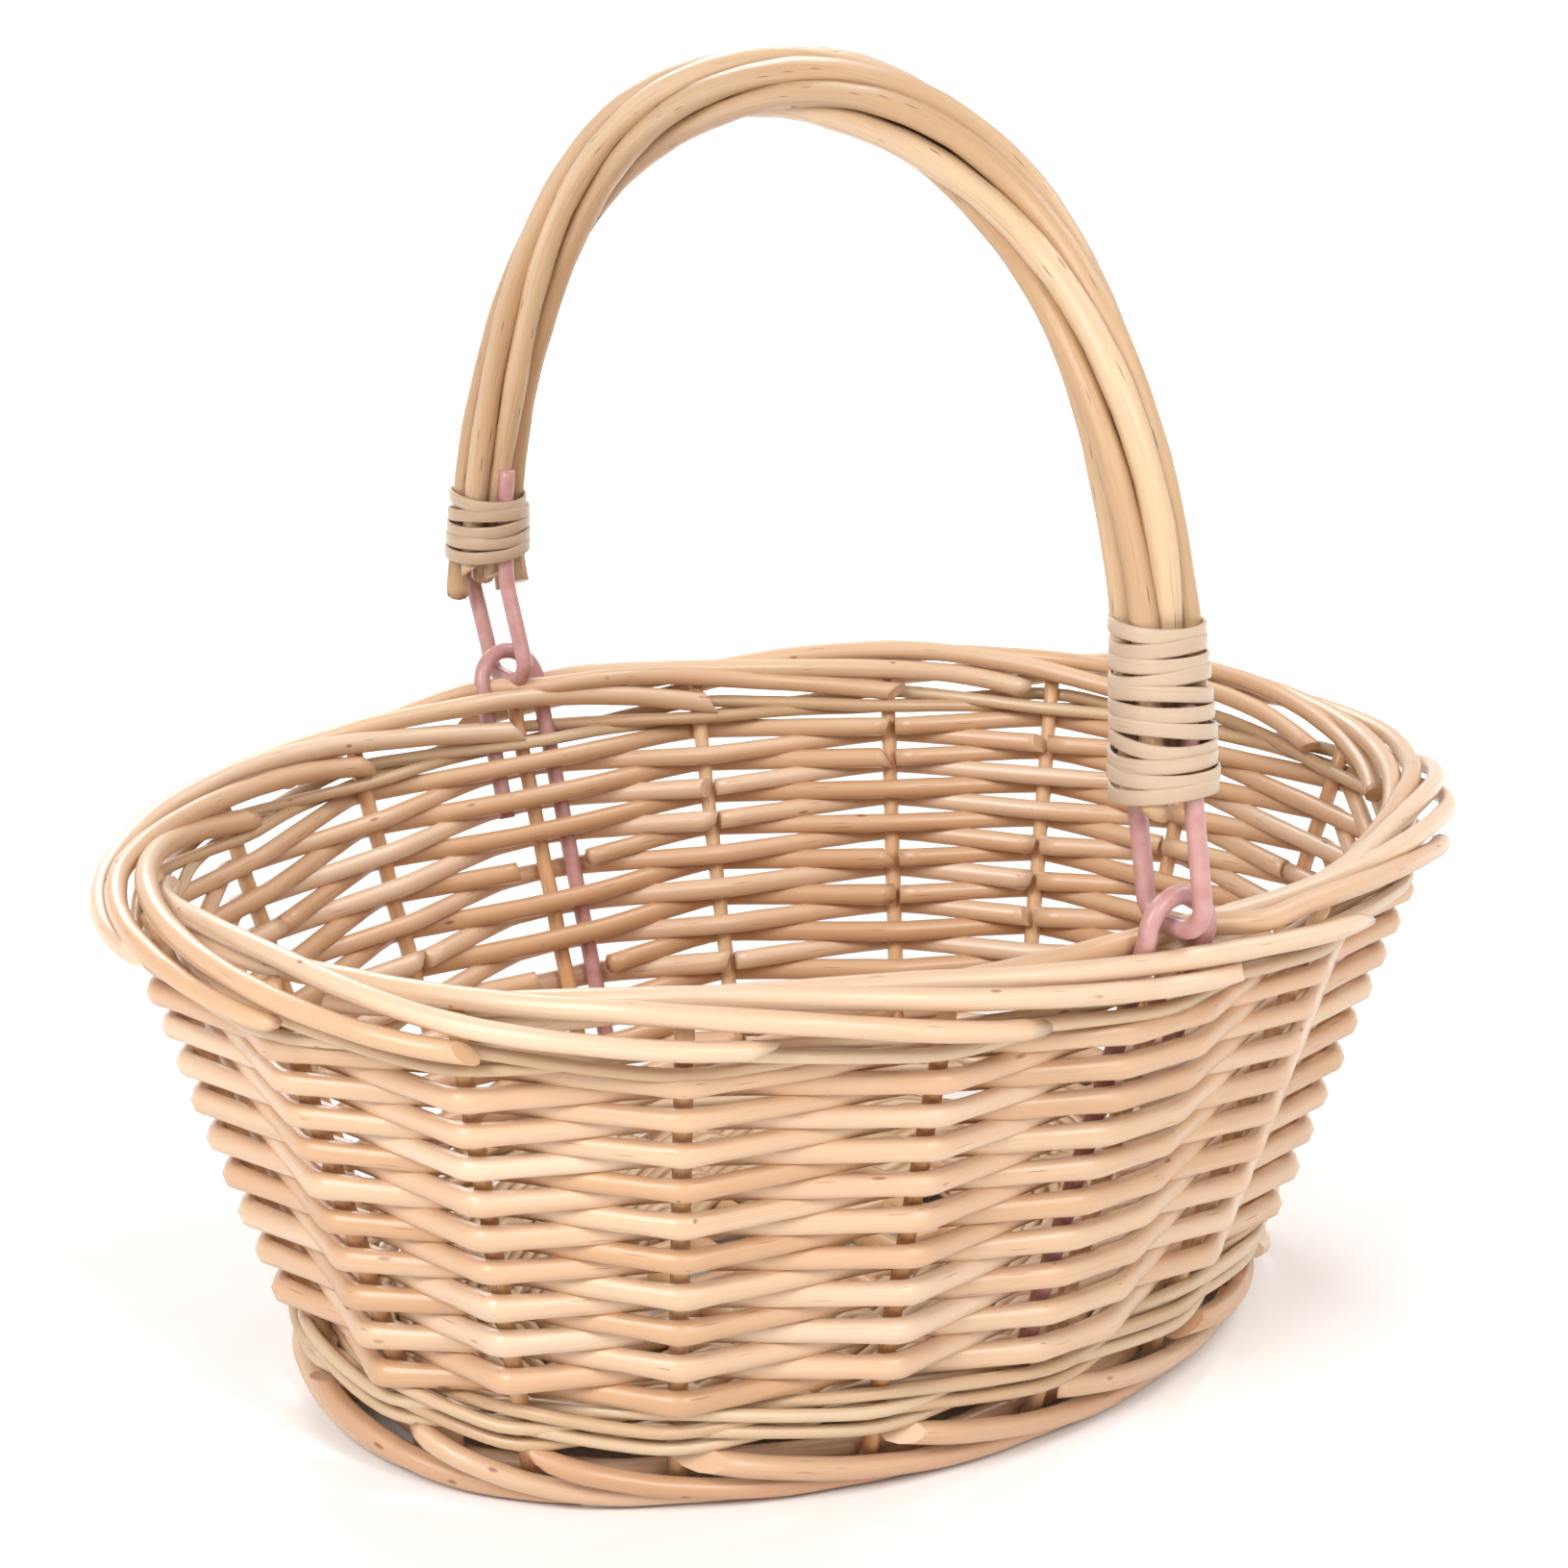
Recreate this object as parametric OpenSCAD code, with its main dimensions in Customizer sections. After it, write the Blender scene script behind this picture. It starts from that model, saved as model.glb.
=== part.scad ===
// Oval market basket of round willow rods, with a swing handle on wire hinges.
// Millimetres, +Z up. The basket stands on z = 0 with its long axis on X and
// its middle on the Z axis. The handle is upright in the YZ plane.

/* [Wall] */
// Half length of the stake line, at wall_datum above the floor
wall_half_length = 114; // [90:1:150]
// Half width of the stake line, at wall_datum above the floor
wall_half_width = 81; // [60:1:120]
// Radius of the round ends of the stake line, at wall_datum
wall_end_radius = 64; // [40:1:78]
// Height above the floor at which the stake line is measured
wall_datum = 10; // [0:1:20]
// How far the wall leans out for each millimetre of height
wall_lean = 0.33; // [0:0.01:0.5]
// Radius of a wall stake
stake_radius = 1.9; // [1.2:0.1:3]
// Height of the lower end of the stakes
stake_foot = 2.5; // [1:0.5:10]
// Height of the upper end of the stakes, under the border
stake_top = 117.5; // [60:0.5:160]

/* [Side weave] */
// Rounds of weaving on the side
row_count = 19; // [6:1:19]
// Height of the first round
row_first = 27; // [24:0.5:40]
// Height from the first round to the second
row_pitch = 4.8; // [4.6:0.1:6]
// How much less each next round rises than the one before
row_pitch_step = 0.057; // [0:0.001:0.06]
// Radius of a weaving rod
row_radius = 1.85; // [1.2:0.05:2.4]
// How far a weaver stands out where it passes outside a stake
weave_out = 4.9; // [4.6:0.1:6]
// How far a weaver stands in where it passes inside a stake
weave_in = 4.35; // [4.2:0.05:6]

/* [Wales] */
// Radius of the thin rods in the wales
wale_radius = 1.5; // [1:0.1:2]
// How far a wale rod lies from the stake line
wale_offset = 4.5; // [4:0.1:6]
// Height of the lower round of the bottom wale
lower_wale_height = 17.3; // [15:0.1:20]
// Height of the upper round of the bottom wale
upper_wale_height = 21.6; // [19:0.1:24]
// Height of the wale under the border
top_wale_height = 109.4; // [60:0.1:150]

/* [Border and foot] */
// Radius of the rods in the border and the foot
border_radius = 2.4; // [1.6:0.1:3]
// Height of the middle of the border's crest rod
crest_height = 121.8; // [70:0.1:160]
// Radius of the foot rods
foot_radius = 2.5; // [1.6:0.1:3]
// Depth that the foot is flattened where it stands
foot_flat = 0.4; // [0.2:0.1:0.8]

/* [Base] */
// Height of the middle of the base sticks
base_height = 13; // [11:0.5:15]
// Radius of the cross sticks, which the long sticks pierce
cross_stick_radius = 3.1; // [2.8:0.1:3.4]
// Radius of the long sticks
long_stick_radius = 1.9; // [1.4:0.1:2.2]
// Distance between neighbouring base sticks
stick_pitch = 17; // [12:0.5:20]
// Rounds of weaving in the base
base_rounds = 10; // [4:1:10]
// Distance between neighbouring rounds of the base
base_pitch = 4.5; // [3.5:0.1:6]

/* [Wire hinges] */
// Radius of the coated wire
wire_radius = 2; // [1.5:0.1:2.5]
// Distance between the legs of a basket loop
loop_gauge = 16; // [12:0.5:20]
// Distance between the legs of a handle eye
eye_gauge = 16; // [14:0.5:20]
// Height of the hinge axis
hinge_height = 124; // [124:0.5:140]
// Distance of each hinge from the middle of the basket
hinge_reach = 118; // [80:0.5:150]
// Height left free in a loop above its eye
hinge_play = 2.6; // [0.2:0.1:4]

/* [Handle] */
// How far the handle stands towards the back, within the loops' play
handle_shift = 0.4; // [-2.4:0.1:2.4]
// Height of the top of the handle's middle line
arch_top = 276; // [240:1:320]
// How far the handle's foot stands out from its hinge at the front
front_foot_out = -2; // [-8:0.5:8]
// How far the handle's foot stands out from its hinge at the back
back_foot_out = 1; // [-8:0.5:8]
// Radius of a handle rod
handle_rod_radius = 2.5; // [2:0.1:3]
// Distance of each rod from the middle of the bundle
bundle_ring = 5.2; // [4.8:0.1:6.5]
// Turn of the bundle from one end to the other, in degrees
bundle_twist = 240; // [0:60:360]
// Height of the rods' cut ends above the hinge axis
rod_end_rise = 21; // [20:1:40]
// Turns of the front binding
front_turns = 11; // [3:1:11]
// Turns of the back binding
back_turns = 5; // [3:1:8]
// Width of the split cane
cane_width = 2.6; // [2:0.1:5]
// Thickness of the split cane
cane_thickness = 1; // [0.6:0.1:1.5]

/* [Hidden] */
$fn = 48;
rod_sides = 8;

// Stakes: the outward direction of each, in degrees from +X, in one quarter
quarter_angles = [14.5, 38, 58, 74];
quarter_mirror = [for (i = [3:-1:0]) 180 - quarter_angles[i]];
half_angles = concat(quarter_angles, [90], quarter_mirror);
stake_angles = concat(half_angles, [for (a = half_angles) a + 180]);
stake_count = len(stake_angles);
front_stake = 13;
back_stake = 4;

// The oval has four centres, which every offset oval shares
end_centre = wall_half_length - wall_end_radius;
side_radius = (pow(wall_half_width, 2) + pow(end_centre, 2) - pow(wall_end_radius, 2))
    / (2 * (wall_half_width - wall_end_radius));
side_centre = side_radius - wall_half_width;
join_angle = atan2(side_centre, end_centre);

// Offset of the stake line at a height, and the point of an oval facing a direction
function lean_at(z) = wall_lean * (z - wall_datum);
function on_end(a) = abs(cos(a)) > cos(join_angle);
function oval_centre(a) = on_end(a)
    ? [sign(cos(a)) * end_centre, 0]
    : [0, -sign(sin(a)) * side_centre];
function oval_radius(a) = on_end(a) ? wall_end_radius : side_radius;
function oval_point(a, offset, z) =
    let (c = oval_centre(a), r = oval_radius(a) + offset)
    [c[0] + r * cos(a), c[1] + r * sin(a), z];

// Gap between the ends of two rods of one round
butt_gap = 0.2;

// Border rods: offset from the stake line below them, and height
border_spots = [[-4.9, -3.6], [0, 0], [5, -2.6], [8.1, -7.4]];
border_datum = lean_at(118);
crest_gap_angle = 4.5;

// Foot rods: offset from the stake line at their own height, and height
foot_spots = [[4.9, foot_radius - foot_flat], [4.9, 8], [-4.9, 2.8]];

// Base: where the sticks end, and the two levels of the weave
stick_inset = 6.8;
stick_clearance = 0.25;
round_inset = 9.5;
round_level = cross_stick_radius + wale_radius + 0.3;
long_stick_count = 5;
cross_stick_count = 9;

// Loops: the middle of the crown, and the ends of the long and short legs
crown_radius = loop_gauge / 2;
crown_height = hinge_height + 2 * wire_radius + hinge_play - crown_radius;
loop_bend_height = wall_datum + (hinge_reach - wall_half_width) / wall_lean;
long_leg_foot = 12;
short_leg_foot = 92;
weave_half_obstacle = loop_gauge / 2 + 1.5;

// Eyes: straight pin on the hinge axis, two bends, two legs up beside the rods. The
// legs' bends are at these lengths along the handle, inner leg first
pin_length = 5;
eye_bend = (eye_gauge - pin_length) / 2;
eye_straight = 5;
front_eye_runs = [[5, 14, 24, 33], [5, 14, 24]];
back_eye_runs = [[5, 14, 24, 34], [5, 14]];

// Handle: its middle line is one smooth curve in the YZ plane, drawn from seven guide
// points, front foot to back foot, and rods, canes and eyes are placed by length on it
rod_foot = hinge_height + rod_end_rise;
guide_lift = (arch_top - rod_foot) / 131;
guide_spread = (2 * hinge_reach + front_foot_out + back_foot_out) / 237;
front_foot = handle_shift - hinge_reach - front_foot_out;
guide_points = [for (p = [[0, 0], [6.2, 61.2], [5.2, 158.6], [135, 154.3],
        [200.3, 143.4], [247.4, 66.6], [237, 0]])
    [front_foot + p[0] * guide_spread, rod_foot + p[1] * guide_lift]];
arch_steps = 60;
rod_count = 6;
flat_pitch = 5.3;
front_flat = 36;
back_flat = 22;
blend_run = 48;
turn_pitch = cane_width + 0.7;
cane_bore = eye_gauge / 2 + wire_radius + 0.35;
binding_rise = 3.5;
back_binding_rise = 9;

// Sphere at a kink, a touch larger than its rods so that they meet cleanly
joint_swell = 1.03;

straw = [0.86, 0.68, 0.47];
honey = [0.80, 0.60, 0.38];
bark = [0.70, 0.55, 0.38];
pink = [0.85, 0.55, 0.53];

// A straight rod from one point to another
module rod(from, to, radius) {
    d = to - from;
    translate(from)
        rotate([0, acos(d[2] / norm(d)), atan2(d[1], d[0])])
            cylinder(h = norm(d), r = radius);
}

// Straight rods from point to point, with a sphere at each joint between two of them
module bent_rod(points, radius) {
    last = len(points) - 1;
    for (j = [0:last - 1]) {
        rod(points[j], points[j + 1], radius);
        if (j > 0)
            translate(points[j])
                sphere(r = radius * joint_swell);
    }
}

// A rod skinned over cross-sections of rod_sides points each; a closed one has no ends
module swept(points, closed) {
    count = len(points) / rod_sides;
    sides = [for (j = [0:count - (closed ? 1 : 2)]) for (s = [0:rod_sides - 1])
        let (a = j * rod_sides + s, b = j * rod_sides + (s + 1) % rod_sides,
             next = ((j + 1) % count) * rod_sides - j * rod_sides)
        [a, a + next, b + next, b]];
    ends = closed ? [] : [[for (s = [0:rod_sides - 1]) s],
        [for (s = [rod_sides - 1:-1:0]) (count - 1) * rod_sides + s]];
    polyhedron(points = points, faces = concat(sides, ends));
}

// Part of a ring of round rod, about Z, from angle start through sweep
module arc_rod(centre, ring_radius, radius, start, sweep) {
    translate(centre)
        rotate([0, 0, start])
            rotate_extrude(angle = sweep)
                translate([ring_radius, 0])
                    circle(r = radius);
}

// A rod of an oval round, short of its full sweep by a butt gap at each end
module round_rod(centre, ring_radius, z, radius, start, sweep) {
    gap = butt_gap / 2 / ring_radius * 180 / PI;
    arc_rod([centre[0], centre[1], z], ring_radius, radius, start + gap, sweep - 2 * gap);
}

// An oval round of four rods butted end to end, offset from the datum oval, at height z
module oval_rod(offset, z, radius) {
    for (side = [0, 180]) {
        round_rod([end_centre * cos(side), 0], wall_end_radius + offset, z, radius,
            side - join_angle, 2 * join_angle);
        round_rod([0, -side_centre * cos(side)], side_radius + offset, z, radius,
            side + join_angle, 180 - 2 * join_angle);
    }
}

// Rounds of thin rod outside and inside the stakes
module wale(z) {
    for (side = [-1, 1])
        oval_rod(lean_at(z) + side * wale_offset, z, wale_radius);
}

module stake(i) {
    a = stake_angles[i];
    color(honey)
        rod(oval_point(a, lean_at(stake_foot), stake_foot),
            oval_point(a, lean_at(stake_top), stake_top), stake_radius);
}

// Where round n passes stake i: one kink, or two beside a basket loop
function weave_side(i, n) = (i + n) % 2 == 0 ? weave_out : -weave_in;
function kinks(i, n, z) =
    let (a = stake_angles[i], p = oval_point(a, lean_at(z) + weave_side(i, n), z),
         t = [-sin(a), cos(a), 0])
    i == front_stake || i == back_stake
        ? [p - weave_half_obstacle * t, p + weave_half_obstacle * t]
        : [p];

// A cross-section of the weaver at kink j of a closed level path, in the plane that
// halves the kink
function mitre(points, j, radius) =
    let (count = len(points), here = points[j],
         before = here - points[(j + count - 1) % count],
         after = points[(j + 1) % count] - here,
         d1 = before / norm(before), d2 = after / norm(after),
         n = [d1[1] + d2[1], -d1[0] - d2[0], 0] / norm(d1 + d2),
         stretch = 2 / norm(d1 + d2))
    [for (s = [0:rod_sides - 1])
        here + radius * (stretch * cos(360 * s / rod_sides) * n
            + sin(360 * s / rod_sides) * [0, 0, 1])];

function row_height(n) =
    row_first + (n - 1) * row_pitch - (n - 1) * (n - 2) / 2 * row_pitch_step;

module weaver_row(n) {
    z = row_height(n);
    points = [for (i = [0:stake_count - 1]) each kinks(i, n, z)];
    color(n % 2 == 0 ? straw : honey)
        swept([for (j = [0:len(points) - 1]) each mitre(points, j, row_radius)], true);
}

module bottom_wale_lower() {
    color(straw) wale(lower_wale_height);
}

module bottom_wale_upper() {
    color(straw) wale(upper_wale_height);
}

module top_wale() {
    color(straw) wale(top_wale_height);
}

module border_rod(i) {
    color(honey)
        oval_rod(border_datum + border_spots[i][0], crest_height + border_spots[i][1],
            border_radius);
}

// The crest rod stops on each side of the two basket loops
module border_rod_crest() {
    offset = border_datum + border_spots[1][0];
    sweep = 90 - join_angle - crest_gap_angle;
    color(honey)
        for (side = [0, 180]) {
            round_rod([end_centre * cos(side), 0], wall_end_radius + offset, crest_height,
                border_radius, side - join_angle, 2 * join_angle);
            for (start = [side + join_angle, side + 180 - join_angle - sweep])
                round_rod([0, -side_centre * cos(side)], side_radius + offset,
                    crest_height, border_radius, start, sweep);
        }
}

module foot_border() {
    color(honey)
        intersection() {
            union()
                for (spot = foot_spots)
                    oval_rod(lean_at(spot[1]) + spot[0], spot[1], foot_radius);
            translate([-wall_half_length * 2, -wall_half_width * 2, 0])
                cube([wall_half_length * 4, wall_half_width * 4, base_height]);
        }
}

// Half lengths of the base sticks, up to the inside of the wall
function long_reach(y) =
    end_centre + sqrt(pow(wall_end_radius - stick_inset, 2) - y * y);
function cross_reach(x) =
    sqrt(pow(side_radius - stick_inset, 2) - x * x) - side_centre;
function stick_place(i, count) = (i - (count - 1) / 2) * stick_pitch;

module long_sticks(radius) {
    for (i = [0:long_stick_count - 1]) {
        y = stick_place(i, long_stick_count) * 0.6;
        rod([-long_reach(y), y, base_height], [long_reach(y), y, base_height], radius);
    }
}

module base_long_sticks() {
    color(straw) long_sticks(long_stick_radius);
}

module base_cross_sticks() {
    color(honey)
        difference() {
            for (i = [0:cross_stick_count - 1]) {
                x = stick_place(i, cross_stick_count);
                rod([x, -cross_reach(x), base_height], [x, cross_reach(x), base_height],
                    cross_stick_radius);
            }
            long_sticks(long_stick_radius + stick_clearance);
        }
}

module base_weave() {
    color(straw)
        for (i = [0:base_rounds - 1])
            oval_rod(-round_inset - i * base_pitch,
                base_height + (i % 2 == 0 ? round_level : -round_level), wale_radius);
}

// A hairpin of wire round one middle stake, its crown standing above the border
module basket_loop() {
    color(pink)
        union() {
            for (leg = [[-crown_radius, long_leg_foot], [crown_radius, short_leg_foot]])
                bent_rod([[leg[0], -wall_half_width - lean_at(leg[1]), leg[1]],
                    [leg[0], -hinge_reach, loop_bend_height],
                    [leg[0], -hinge_reach, crown_height]], wire_radius);
            translate([0, -hinge_reach, crown_height])
                rotate([90, 0, 0])
                    arc_rod([0, 0, 0], crown_radius, wire_radius, 0, 180);
        }
}

module loop_front() {
    basket_loop();
}

module loop_back() {
    rotate([0, 0, 180]) basket_loop();
}

// A point of the handle's middle line, for u from 0 at the front foot to 1 at the back
function mid(points, u) = len(points) == 1 ? points[0]
    : mid([for (i = [0:len(points) - 2]) points[i] * (1 - u) + points[i + 1] * u], u);
arch_runs = [for (i = 0, s = 0; i <= 200;
        s = s + norm(mid(guide_points, min(1, (i + 1) / 200)) - mid(guide_points, i / 200)),
        i = i + 1) [s, i / 200]];
arch_length = arch_runs[200][0];

// Place and outward direction at a length along the middle line: [y, z, out y, out z].
// Past its ends the line goes straight on
function arch_frame(s) =
    let (u = lookup(s, arch_runs), p = mid(guide_points, u),
         q = mid(guide_points, min(1, u + 0.001)) - mid(guide_points, max(0, u - 0.001)),
         t = q / norm(q), past = s < 0 ? s : s > arch_length ? s - arch_length : 0)
    [p[0] + past * t[0], p[1] + past * t[1], -t[1], t[0]];
function beside(s, out) = let (f = arch_frame(s)) [0, f[0] + out * f[2], f[1] + out * f[3]];

// A U of wire whose bottom is the hinge pin. runs holds the lengths along the handle,
// from the eye's own end, at which its inner and outer legs bend
module handle_eye(side, runs) {
    elbow = hinge_height + eye_bend;
    color(pink)
        union() {
            translate([0, handle_shift + side * hinge_reach - pin_length / 2, hinge_height])
                rotate([-90, 0, 0])
                    cylinder(h = pin_length, r = wire_radius);
            for (leg = [0, 1]) {
                out = (leg == 0 ? -1 : 1) * eye_gauge / 2;
                way = side * sign(out);
                middle = handle_shift + side * hinge_reach + way * pin_length / 2;
                translate([0, middle, elbow])
                    rotate([90, 0, 90])
                        arc_rod([0, 0, 0], eye_bend, wire_radius, way > 0 ? -90 : 180, 90);
                bent_rod(concat(
                    [for (rise = [0, eye_straight]) [0, middle + way * eye_bend, elbow + rise]],
                    [for (s = runs[leg]) beside(side < 0 ? s : arch_length - s, out)]),
                    wire_radius);
            }
        }
}

module eye_front() {
    handle_eye(-1, front_eye_runs);
}

module eye_back() {
    handle_eye(1, back_eye_runs);
}

// Place of rod k across the bundle: flat, two by three, at the ends and a ring between
function smooth(t) = let (s = min(1, max(0, t))) s * s * (3 - 2 * s);
function ring_share(s) = min(smooth((s - front_flat) / blend_run),
    smooth((arch_length - back_flat - s) / blend_run));
function rod_place(k, s) =
    let (w = ring_share(s), u = s / arch_length,
         turned = bundle_twist * smooth(u * 1.1 - 0.05),
         b = 30 + 60 * k + turned,
         slot = 30 + 60 * ((k + (u > 0.5 ? round(bundle_twist / 60) : 0)) % rod_count),
         flat = [flat_pitch * sign(round(10 * cos(slot))),
                 flat_pitch / 2 * sign(round(10 * sin(slot)))])
    [w * bundle_ring * cos(b) + (1 - w) * flat[0],
     w * bundle_ring * sin(b) + (1 - w) * flat[1]];

module handle_rod(k) {
    rings = [for (j = [0:arch_steps])
        let (s = arch_length * j / arch_steps, f = arch_frame(s), p = rod_place(k, s))
        for (i = [0:rod_sides - 1])
            let (c = p[0] + handle_rod_radius * cos(360 * i / rod_sides),
                 o = p[1] + handle_rod_radius * sin(360 * i / rod_sides))
            [c, f[0] + o * f[2], f[1] + o * f[3]]];
    color(bark) swept(rings, false);
}

// Turns of cane round the bundle, the first one's edge at a length from an end
module binding(side, rise, turns) {
    color(straw)
        for (i = [0:turns - 1]) {
            run = rise + cane_width / 2 + i * turn_pitch;
            f = arch_frame(side < 0 ? run : arch_length - run);
            translate([0, f[0], f[1]])
                rotate([-atan2(f[3], -f[2]), 0, 0])
                    difference() {
                        cylinder(h = cane_width, r = cane_bore + cane_thickness, center = true);
                        cylinder(h = cane_width + 1, r = cane_bore, center = true);
                    }
        }
}

module binding_front() {
    binding(-1, binding_rise, front_turns);
}

module binding_back() {
    binding(1, back_binding_rise, back_turns);
}

base_long_sticks();
base_cross_sticks();
base_weave();
foot_border();
bottom_wale_lower();
bottom_wale_upper();
stake(0);  // stake_01
stake(1);  // stake_02
stake(2);  // stake_03
stake(3);  // stake_04
stake(4);  // stake_05
stake(5);  // stake_06
stake(6);  // stake_07
stake(7);  // stake_08
stake(8);  // stake_09
stake(9);  // stake_10
stake(10);  // stake_11
stake(11);  // stake_12
stake(12);  // stake_13
stake(13);  // stake_14
stake(14);  // stake_15
stake(15);  // stake_16
stake(16);  // stake_17
stake(17);  // stake_18
weaver_row(1);  // weaver_row_01
weaver_row(2);  // weaver_row_02
weaver_row(3);  // weaver_row_03
weaver_row(4);  // weaver_row_04
weaver_row(5);  // weaver_row_05
weaver_row(6);  // weaver_row_06
weaver_row(7);  // weaver_row_07
weaver_row(8);  // weaver_row_08
weaver_row(9);  // weaver_row_09
weaver_row(10);  // weaver_row_10
weaver_row(11);  // weaver_row_11
weaver_row(12);  // weaver_row_12
weaver_row(13);  // weaver_row_13
weaver_row(14);  // weaver_row_14
weaver_row(15);  // weaver_row_15
weaver_row(16);  // weaver_row_16
weaver_row(17);  // weaver_row_17
weaver_row(18);  // weaver_row_18
weaver_row(19);  // weaver_row_19
top_wale();
border_rod(0);  // border_rod_inner
border_rod_crest();
border_rod(2);  // border_rod_upper
border_rod(3);  // border_rod_outer
loop_front();
loop_back();
eye_front();
eye_back();
handle_rod(0);  // handle_rod_1
handle_rod(1);  // handle_rod_2
handle_rod(2);  // handle_rod_3
handle_rod(3);  // handle_rod_4
handle_rod(4);  // handle_rod_5
handle_rod(5);  // handle_rod_6
binding_front();
binding_back();
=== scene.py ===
import math
import random

import bmesh
import bpy
from mathutils import Matrix, Vector


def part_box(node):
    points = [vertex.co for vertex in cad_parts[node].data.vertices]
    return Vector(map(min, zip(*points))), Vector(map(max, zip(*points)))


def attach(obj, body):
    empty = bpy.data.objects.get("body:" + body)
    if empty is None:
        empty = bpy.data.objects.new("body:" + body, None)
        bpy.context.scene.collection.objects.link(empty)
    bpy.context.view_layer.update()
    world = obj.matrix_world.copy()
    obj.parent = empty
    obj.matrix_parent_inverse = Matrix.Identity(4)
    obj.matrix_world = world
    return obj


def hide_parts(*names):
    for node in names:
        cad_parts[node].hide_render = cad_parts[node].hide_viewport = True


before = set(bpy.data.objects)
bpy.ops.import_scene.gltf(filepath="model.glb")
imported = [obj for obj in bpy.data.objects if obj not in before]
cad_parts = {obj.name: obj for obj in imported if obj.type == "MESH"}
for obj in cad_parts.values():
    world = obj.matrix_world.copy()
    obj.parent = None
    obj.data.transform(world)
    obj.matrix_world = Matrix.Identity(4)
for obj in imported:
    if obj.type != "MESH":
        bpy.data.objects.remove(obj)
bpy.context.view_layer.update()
scene = bpy.context.scene

# --- Camera -----------------------------------------------------------------
# A long lens at table height, turned to look along the basket's left front
# corner and slightly down into it, as a shop shows a basket.
VIEW_TURN = math.radians(-37.46)
VIEW_TILT = math.radians(16.5)
VIEW_ROLL = math.radians(0.13)
VIEW_DISTANCE = 0.737
VIEW_SHIFT = (-0.0042, -0.00495)
VIEW_HEIGHT = 0.130
SENSOR, LENS = 36.0, 77.2

camera_data = bpy.data.cameras.new("camera")
camera_data.sensor_width = SENSOR
camera_data.lens = LENS
camera_data.clip_start = 0.01
camera_data.clip_end = 20
camera = bpy.data.objects.new("camera", camera_data)
scene.collection.objects.link(camera)
back = Vector((math.sin(VIEW_TURN) * math.cos(VIEW_TILT),
               -math.cos(VIEW_TURN) * math.cos(VIEW_TILT), math.sin(VIEW_TILT)))
level = Vector((math.cos(VIEW_TURN), math.sin(VIEW_TURN), 0))
upright = back.cross(level)
right = math.cos(VIEW_ROLL) * level + math.sin(VIEW_ROLL) * upright
up = math.cos(VIEW_ROLL) * upright - math.sin(VIEW_ROLL) * level
aim = Vector((0, 0, VIEW_HEIGHT)) + VIEW_SHIFT[0] * right + VIEW_SHIFT[1] * up
camera.matrix_world = Matrix.Translation(aim + VIEW_DISTANCE * back) @ Matrix(
    (right, up, back)).transposed().to_4x4()
scene.camera = camera

# --- Floor and light ----------------------------------------------------------
# A pale studio floor that brightens to white around the basket, white walls that the
# rods mirror, and four broad soft lights, the strongest high on the left.
FLOOR_HALF, FLOOR_TONE = 6, 0.93
FADE_FROM, FADE_TO = 0.35, 0.9
SKY_STRENGTH, WALL_STRENGTH = 0.46, 1.1
LIGHT_AIM = Vector((0, 0, 0.1))
floor_mesh = bpy.data.meshes.new("floor")
bm = bmesh.new()
bmesh.ops.create_grid(bm, x_segments=2, y_segments=2, size=FLOOR_HALF)
bm.to_mesh(floor_mesh)
bm.free()
floor = bpy.data.objects.new("floor", floor_mesh)
scene.collection.objects.link(floor)
floor_paint = bpy.data.materials.new("pale_floor")
floor_paint.use_nodes = True
floor_tree = floor_paint.node_tree
floor_shader = floor_tree.nodes["Principled BSDF"]
floor_shader.inputs["Base Color"].default_value = (FLOOR_TONE, FLOOR_TONE, FLOOR_TONE, 1)
floor_shader.inputs["Roughness"].default_value = 0.9
floor_shader.inputs["Specular IOR Level"].default_value = 0.1
floor_place = floor_tree.nodes.new("ShaderNodeTexCoord")
floor_reach = floor_tree.nodes.new("ShaderNodeVectorMath")
floor_reach.operation = "LENGTH"
floor_fade = floor_tree.nodes.new("ShaderNodeMapRange")
floor_fade.inputs["From Min"].default_value = FADE_FROM
floor_fade.inputs["From Max"].default_value = FADE_TO
floor_shader.inputs["Emission Color"].default_value = (1, 1, 1, 1)
floor_tree.links.new(floor_place.outputs["Object"], floor_reach.inputs[0])
floor_tree.links.new(floor_reach.outputs["Value"], floor_fade.inputs["Value"])
floor_tree.links.new(floor_fade.outputs["Result"], floor_shader.inputs["Emission Strength"])
floor_mesh.materials.append(floor_paint)

world = bpy.data.worlds.new("white_sky")
world.use_nodes = True
sky = world.node_tree
glow = sky.nodes["Background"]
glow.inputs["Color"].default_value = (1, 1, 1, 1)
glow.inputs["Strength"].default_value = SKY_STRENGTH
backdrop = sky.nodes.new("ShaderNodeBackground")
backdrop.inputs["Color"].default_value = (1, 1, 1, 1)
backdrop.inputs["Strength"].default_value = WALL_STRENGTH
seen = sky.nodes.new("ShaderNodeLightPath")
bright = sky.nodes.new("ShaderNodeMath")
bright.operation = "MAXIMUM"
sky.links.new(seen.outputs["Is Camera Ray"], bright.inputs[0])
sky.links.new(seen.outputs["Is Glossy Ray"], bright.inputs[1])
choose = sky.nodes.new("ShaderNodeMixShader")
sky.links.new(bright.outputs[0], choose.inputs[0])
sky.links.new(glow.outputs[0], choose.inputs[1])
sky.links.new(backdrop.outputs[0], choose.inputs[2])
sky.links.new(choose.outputs[0], sky.nodes["World Output"].inputs["Surface"])
scene.world = world
scene.view_settings.view_transform = "Standard"


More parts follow.
